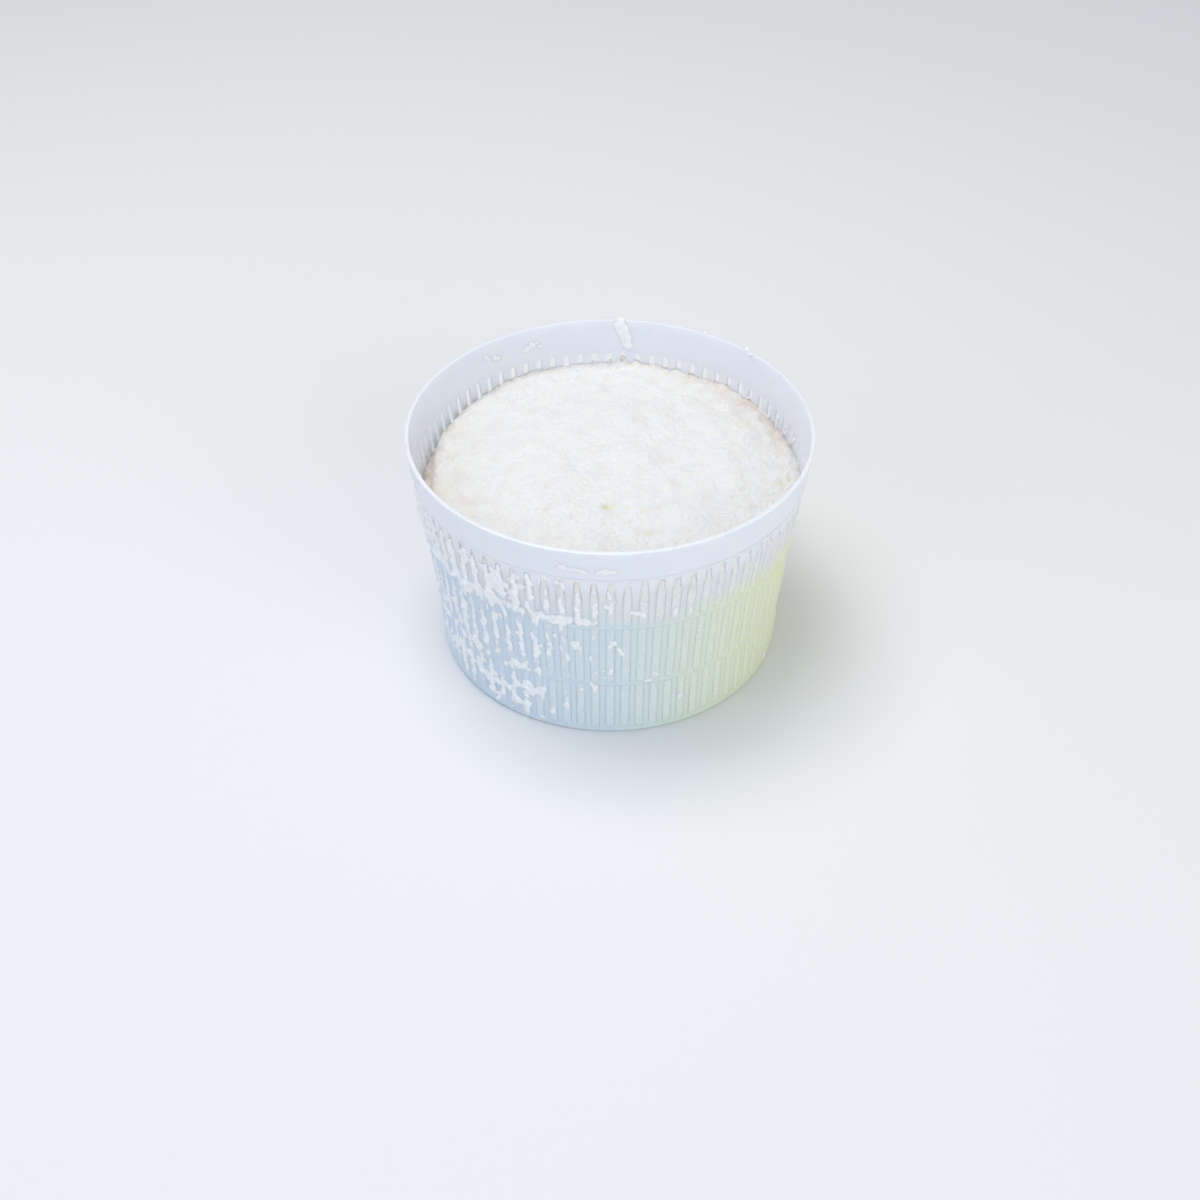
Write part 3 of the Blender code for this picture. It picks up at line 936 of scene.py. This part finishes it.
@dataclass
class SqueezedCurd(WallCurd):
    """Curd that stands out through the slots, thickest left of the front."""

    seed: int = 7
    patch: tuple[float, float] = (math.radians(218.0), math.radians(66.0))
    proud: float = 2.2 * MM
    stray_proud: float = 0.9 * MM
    level: float = 0.22
    row_strength: tuple[float, float, float] = (0.46, 0.58, 1.0)
    clearance: float = 0.3 * MM
    rise: float = 0.3
    strays: tuple[tuple[int, float, float], ...] = (
        (57, 51.5, 2.2), (58, 54.5, 2.6), (60, 49.0, 1.5), (62, 48.7, 1.6), (63, 47.4, 1.5), (58, 37.3, 2.0),
        (58, 25.7, 1.6), (61, 23.6, 1.2), (63, 12.2, 1.5), (51, 16.3, 1.4), (49, 16.4, 1.5), (54, 6.7, 1.4))
    ledges: tuple[tuple[int, float, float, float, float], ...] = (
        (60, 45.4, 1.3, 188.0, 264.0), (26, 48.6, 2.6, 196.0, 250.0), (26, 57.0, 3.6, 192.0, 246.0),
        (22, 21.6, 1.0, 190.0, 250.0), (44, 12.5, 3.2, 204.0, 250.0), (12, 5.0, 1.6, 212.0, 246.0))
    dabs: int = 560

    def strands(self, draw: random.Random) -> Iterable[Lump]:
        """The strands as single long lumps, in the same places as on the solid."""
        half_width = self.basket.slot_width / 2
        for row, (foot, top) in zip(self.row_strength, self.basket.slot_rows()):
            room = (top - foot) / 2 - self.clearance
            for index in range(self.basket.slot_count):
                luck, slide = draw.random(), draw.random()
                angle = self.basket.slot_angle(index)
                strength = row * hump(angle, *self.patch) * (0.6 + 0.7 * luck)
                if strength < self.level:
                    continue
                half_length = room * min(0.92, 0.35 + 0.6 * strength)
                height = (foot + top) / 2 + (room - half_length) * (2 * slide - 1)
                height = min(height, self.ricotta.wall_level(angle) + self.rise * half_length)
                proud = self.proud * min(1.0, 0.15 + 0.85 * strength)
                yield Lump(angle, height, half_width, half_length, proud)
        for index, height, half_length in self.strays:
            angle = self.basket.slot_angle(index)
            yield Lump(angle, height * MM, half_width, half_length * MM, self.stray_proud)

    def crumbled(self, strand: Lump, draw: random.Random) -> Iterable[Lump]:
        """One strand as a broken chain of uneven lumps, heaviest at its foot.

        Args:
            strand: the whole strand.
            draw: the random numbers.

        Yields:
            Its lumps.
        """
        count = max(2, round(strand.half_height / (0.7 * MM)))
        for place in range(count):
            along_it = (2 * (place + 0.5) / count - 1) * 0.9
            luck = draw.random()
            heavy = 1.1 - 0.35 * along_it
            yield Lump(
                strand.angle + draw.gauss(0.0, 0.2) * MM / self.basket.outer(strand.height),
                strand.height + along_it * strand.half_height + draw.uniform(-0.4, 0.4) * MM,
                strand.half_width * draw.uniform(0.7, 1.15) * heavy,
                strand.half_height / count * draw.uniform(1.2, 2.4),
                strand.proud * heavy * (0.25 + 0.6 * luck ** 2),
                draw.gauss(0.0, 0.15))

    def dabs_round(self, draw: random.Random) -> Iterable[Lump]:
        """Small flat dabs over the slots and ribs of the patch."""
        middle, spread = self.patch
        pitch = TURN / self.basket.slot_count
        for _ in range(self.dabs):
            angle = middle + draw.triangular(-1.0, 1.0, 0.05) * spread * 0.92
            if draw.random() < 0.65:
                angle = self.basket.slot_angle(math.floor(angle / pitch))
                angle += draw.gauss(0.0, 0.35) * MM / self.basket.base_radius
            size = draw.uniform(0.45, 1.05) * MM
            yield Lump(angle, draw.triangular(3.0, 61.0, 52.0) * MM, size, size * draw.uniform(1.0, 3.0),
                       size * draw.uniform(0.25, 0.6), draw.gauss(0.0, 0.25))

    def masses(self, draw: random.Random) -> Iterable[Lump]:
        """Broader masses that lie on the hoops and low on the wall."""
        for count, height, spread, first, last in self.ledges:
            for _ in range(count):
                half_width = draw.uniform(0.6, 1.6) * MM
                angle = math.radians(draw.uniform(first, last))
                level = (height + draw.uniform(-1.0, 1.0) * spread) * MM
                yield Lump(angle, level, half_width, half_width * draw.uniform(0.7, 1.8),
                           draw.uniform(0.2, 0.8) * MM, draw.gauss(0.0, 0.4))

    def lumps(self) -> Iterable[Lump]:
        """Every lump: the strands' first, then the dabs and the masses."""
        draw = random.Random(self.seed)
        for strand in list(self.strands(draw)):
            yield from self.crumbled(strand, draw)
        yield from self.dabs_round(draw)
        yield from self.masses(draw)

    def build(self, material: bpy.types.Material) -> bpy.types.Object:
        """Fuses the lumps into one piece."""
        return self.fuse("squeezed_curd", self.lumps(), material)


@dataclass
class ClingingCurd(WallCurd):
    """Smears and crumbs left by the ladle: on the band, the lip and the inner wall."""

    seed: int = 19
    smears: tuple[tuple[Face, float, float, float, float, float, float, int], ...] = (
        (Face.INSIDE, 87.6, 70.8, 85.4, 70.6, 2.0, 0.45, 8),
        (Face.INSIDE, 86.8, 70.4, 85.4, 69.4, 1.9, 0.5, 8),
        (Face.INSIDE, 85.9, 69.8, 83.9, 65.6, 2.1, 0.5, 18),
        (Face.INSIDE, 132.0, 68.0, 127.0, 67.0, 1.4, 0.2, 6),
        (Face.INSIDE, 118.0, 67.5, 112.0, 66.8, 1.5, 0.2, 7),
        (Face.OUTSIDE, 255.5, 67.2, 263.5, 65.6, 1.3, 0.3, 16),
        (Face.OUTSIDE, 266.0, 66.2, 271.5, 65.8, 1.2, 0.26, 11),
        (Face.OUTSIDE, 184.0, 71.6, 206.0, 71.3, 0.9, 0.5, 24),
        (Face.OUTSIDE, 183.0, 69.0, 200.0, 65.5, 1.1, 0.6, 22),
        (Face.OUTSIDE, 188.0, 57.5, 189.5, 52.5, 1.1, 1.3, 6),
        (Face.OUTSIDE, 249.5, 46.4, 257.0, 45.2, 1.5, 0.9, 12))
    bits: tuple[tuple[Face, float, float, float], ...] = (
        (Face.OUTSIDE, 72.5, 72.6, 0.8), (Face.OUTSIDE, 62.6, 72.6, 0.7), (Face.OUTSIDE, 59.3, 72.7, 0.9),
        (Face.OUTSIDE, 44.4, 72.5, 1.1), (Face.INSIDE, 42.2, 72.2, 0.9), (Face.INSIDE, 40.2, 71.6, 0.9),
        (Face.OUTSIDE, 351.0, 66.0, 0.9), (Face.OUTSIDE, 351.4, 36.0, 0.6), (Face.OUTSIDE, 335.1, 2.6, 1.1),
        (Face.OUTSIDE, 268.5, 52.6, 1.3), (Face.OUTSIDE, 271.1, 54.6, 0.9), (Face.OUTSIDE, 277.5, 49.4, 1.3),
        (Face.OUTSIDE, 275.5, 49.9, 1.0), (Face.OUTSIDE, 271.3, 37.7, 1.2), (Face.OUTSIDE, 268.2, 26.0, 0.8),
        (Face.OUTSIDE, 282.4, 21.3, 1.1), (Face.OUTSIDE, 281.2, 20.9, 0.7), (Face.OUTSIDE, 290.6, 12.5, 0.8),
        (Face.OUTSIDE, 247.7, 3.0, 1.0), (Face.OUTSIDE, 251.4, 7.0, 0.8), (Face.OUTSIDE, 230.3, 2.2, 0.9),
        (Face.OUTSIDE, 236.0, 2.4, 0.7), (Face.OUTSIDE, 289.0, 49.0, 0.8), (Face.OUTSIDE, 293.0, 47.6, 0.8))
    crumb_field: tuple[int, float, float, float, float] = (34, 2.0, 40.0, 55.5, 61.5)

    def smeared(self, draw: random.Random) -> Iterable[Lump]:
        """Lumps along each smear, unevenly wide and thick."""
        for face, first, low, last, high, half_width, proud, count in self.smears:
            for step in range(count):
                share = (step + draw.uniform(0.2, 0.8)) / count
                size = half_width * draw.uniform(0.6, 1.2) * MM
                yield Lump(math.radians(first + share * (last - first)),
                           (low + share * (high - low) + draw.uniform(-0.7, 0.7) * half_width) * MM, size,
                           size * draw.uniform(0.6, 1.0), proud * draw.uniform(0.5, 1.1) * MM,
                           draw.gauss(0.0, 0.5), face)

    def lumps(self) -> Iterable[Lump]:
        """Every smear and bit, and the crumbs on the inner wall above the ricotta's low right edge."""
        draw = random.Random(self.seed)
        yield from self.smeared(draw)
        for face, degrees, height, half_width in self.bits:
            for _ in range(2):
                size = half_width * draw.uniform(0.65, 1.1) * MM
                yield Lump(math.radians(degrees + draw.uniform(-0.5, 0.5)),
                           (height + draw.uniform(-0.35, 0.35)) * MM, size, size * draw.uniform(0.55, 1.0),
                           size * draw.uniform(0.35, 0.7), draw.gauss(0.0, 0.6), face)
        count, first, last, low, high = self.crumb_field
        for _ in range(count):
            size = draw.uniform(0.3, 0.8) * MM
            yield Lump(math.radians(draw.uniform(first, last)), draw.triangular(low, high, low) * MM, size,
                       size * draw.uniform(0.7, 1.4), size * draw.uniform(0.3, 0.8), draw.gauss(0.0, 0.6),
                       Face.INSIDE)

    def build(self, material: bpy.types.Material) -> bpy.types.Object:
        """Fuses the smears and crumbs into one piece."""
        return self.fuse("clinging_curd", self.lumps(), material)


@dataclass(frozen=True)
class Lamp:
    """A soft square light: name, place and side in metres, power in watts and sRGB hex tint."""

    name: str
    place: tuple[float, float, float]
    width: float
    watts: float
    tint: str


@dataclass
class Studio:
    """Pale paper, three soft lights and the camera at the photograph's angle."""

    distance: float = 517.0 * MM
    elevation: float = math.radians(40.69)
    lens: float = 49.0
    aim_right: float = -2.88 * MM
    aim_up: float = 5.0 * MM
    lamp_aim: float = 0.03
    floor_half: float = 3.0
    backdrop: str = "DDE3EC"
    backdrop_strength: float = 0.62
    lamps: tuple[Lamp, ...] = (
        Lamp("key", (-0.2, 0.1, 1.0), 0.55, 4.9, "FFFDFB"),
        Lamp("fill", (0.6, -0.8, 0.45), 0.8, 3.4, "F2FAFF"),
        Lamp("cool_fill", (-0.8, -0.6, 0.5), 0.7, 2.0, "CCDFFF"))

    def floor(self) -> bpy.types.Object:
        """Lays the paper under the object."""
        mesh = bmesh.new()
        bmesh.ops.create_grid(mesh, x_segments=1, y_segments=1, size=self.floor_half)
        floor = finish_piece("floor", mesh, StudioPaper().make())
        return floor

    def camera(self) -> bpy.types.Object:
        """Sets the camera up and makes it the scene's own."""
        data = bpy.data.cameras.new("camera")
        data.lens = self.lens
        data.sensor_width = 36.0
        data.clip_start = 0.01
        camera = bpy.data.objects.new("camera", data)
        bpy.context.scene.collection.objects.link(camera)
        back = Vector((0.0, -math.cos(self.elevation), math.sin(self.elevation)))
        up = Vector((0.0, math.sin(self.elevation), math.cos(self.elevation)))
        camera.location = back * self.distance + up * self.aim_up + Vector((self.aim_right, 0.0, 0.0))
        camera.rotation_euler = (math.pi / 2 - self.elevation, 0.0, 0.0)
        bpy.context.scene.camera = camera
        return camera

    def hang(self, lamp: Lamp) -> None:
        """Adds a lamp, turned to face the object."""
        data = bpy.data.lights.new(lamp.name, "AREA")
        data.size = lamp.width
        data.energy = lamp.watts
        data.color = linear(lamp.tint)[:3]
        light = bpy.data.objects.new(lamp.name, data)
        bpy.context.scene.collection.objects.link(light)
        light.location = lamp.place
        aim = Vector((0.0, 0.0, self.lamp_aim)) - Vector(lamp.place)
        light.rotation_euler = aim.to_track_quat("-Z", "Y").to_euler()

    def build(self) -> None:
        """Sets the whole studio up."""
        bpy.context.scene.view_settings.view_transform = "Standard"
        self.floor()
        self.camera()
        world = bpy.data.worlds.new("studio")
        bpy.context.scene.world = world
        world.use_nodes = True
        set_inputs(world.node_tree.nodes["Background"],
                   {"Color": linear(self.backdrop), "Strength": self.backdrop_strength})
        for lamp in self.lamps:
            self.hang(lamp)


def main() -> None:
    """Builds every piece in order."""
    logging.basicConfig(level=logging.INFO, format="%(name)s: %(message)s")
    plastic = MilkyPolypropylene().make()
    # A whiter, barely glowing copy of the plastic for the bead: a painted highlight along the band's foot.
    bead_highlight_plastic = MilkyPolypropylene("bead_polypropylene_painted_highlight", "F4F6FA", "F8F9FC", glow=0.1).make()
    curd = FreshCurd("loose_fresh_curd", 0.12, "FDFDFC", "F5F6F5", glow=0.4, glow_depth=0.35 * MM,
                     rough_grain=0.5).make()
    basket = Basket()
    basket.build(plastic)
    basket.build_bead(bead_highlight_plastic)
    ricotta = Ricotta(basket)
    # The curd in the slots takes most of the wall's tint, partly painted reflection and warm light.
    ricotta.build(FreshCurd("whey_wet_curd_painted_light", 0.62).make())
    SqueezedCurd(basket, ricotta).build(curd)
    ClingingCurd(basket, ricotta).build(curd)
    Studio().build()


if __name__ == "__main__":
    main()
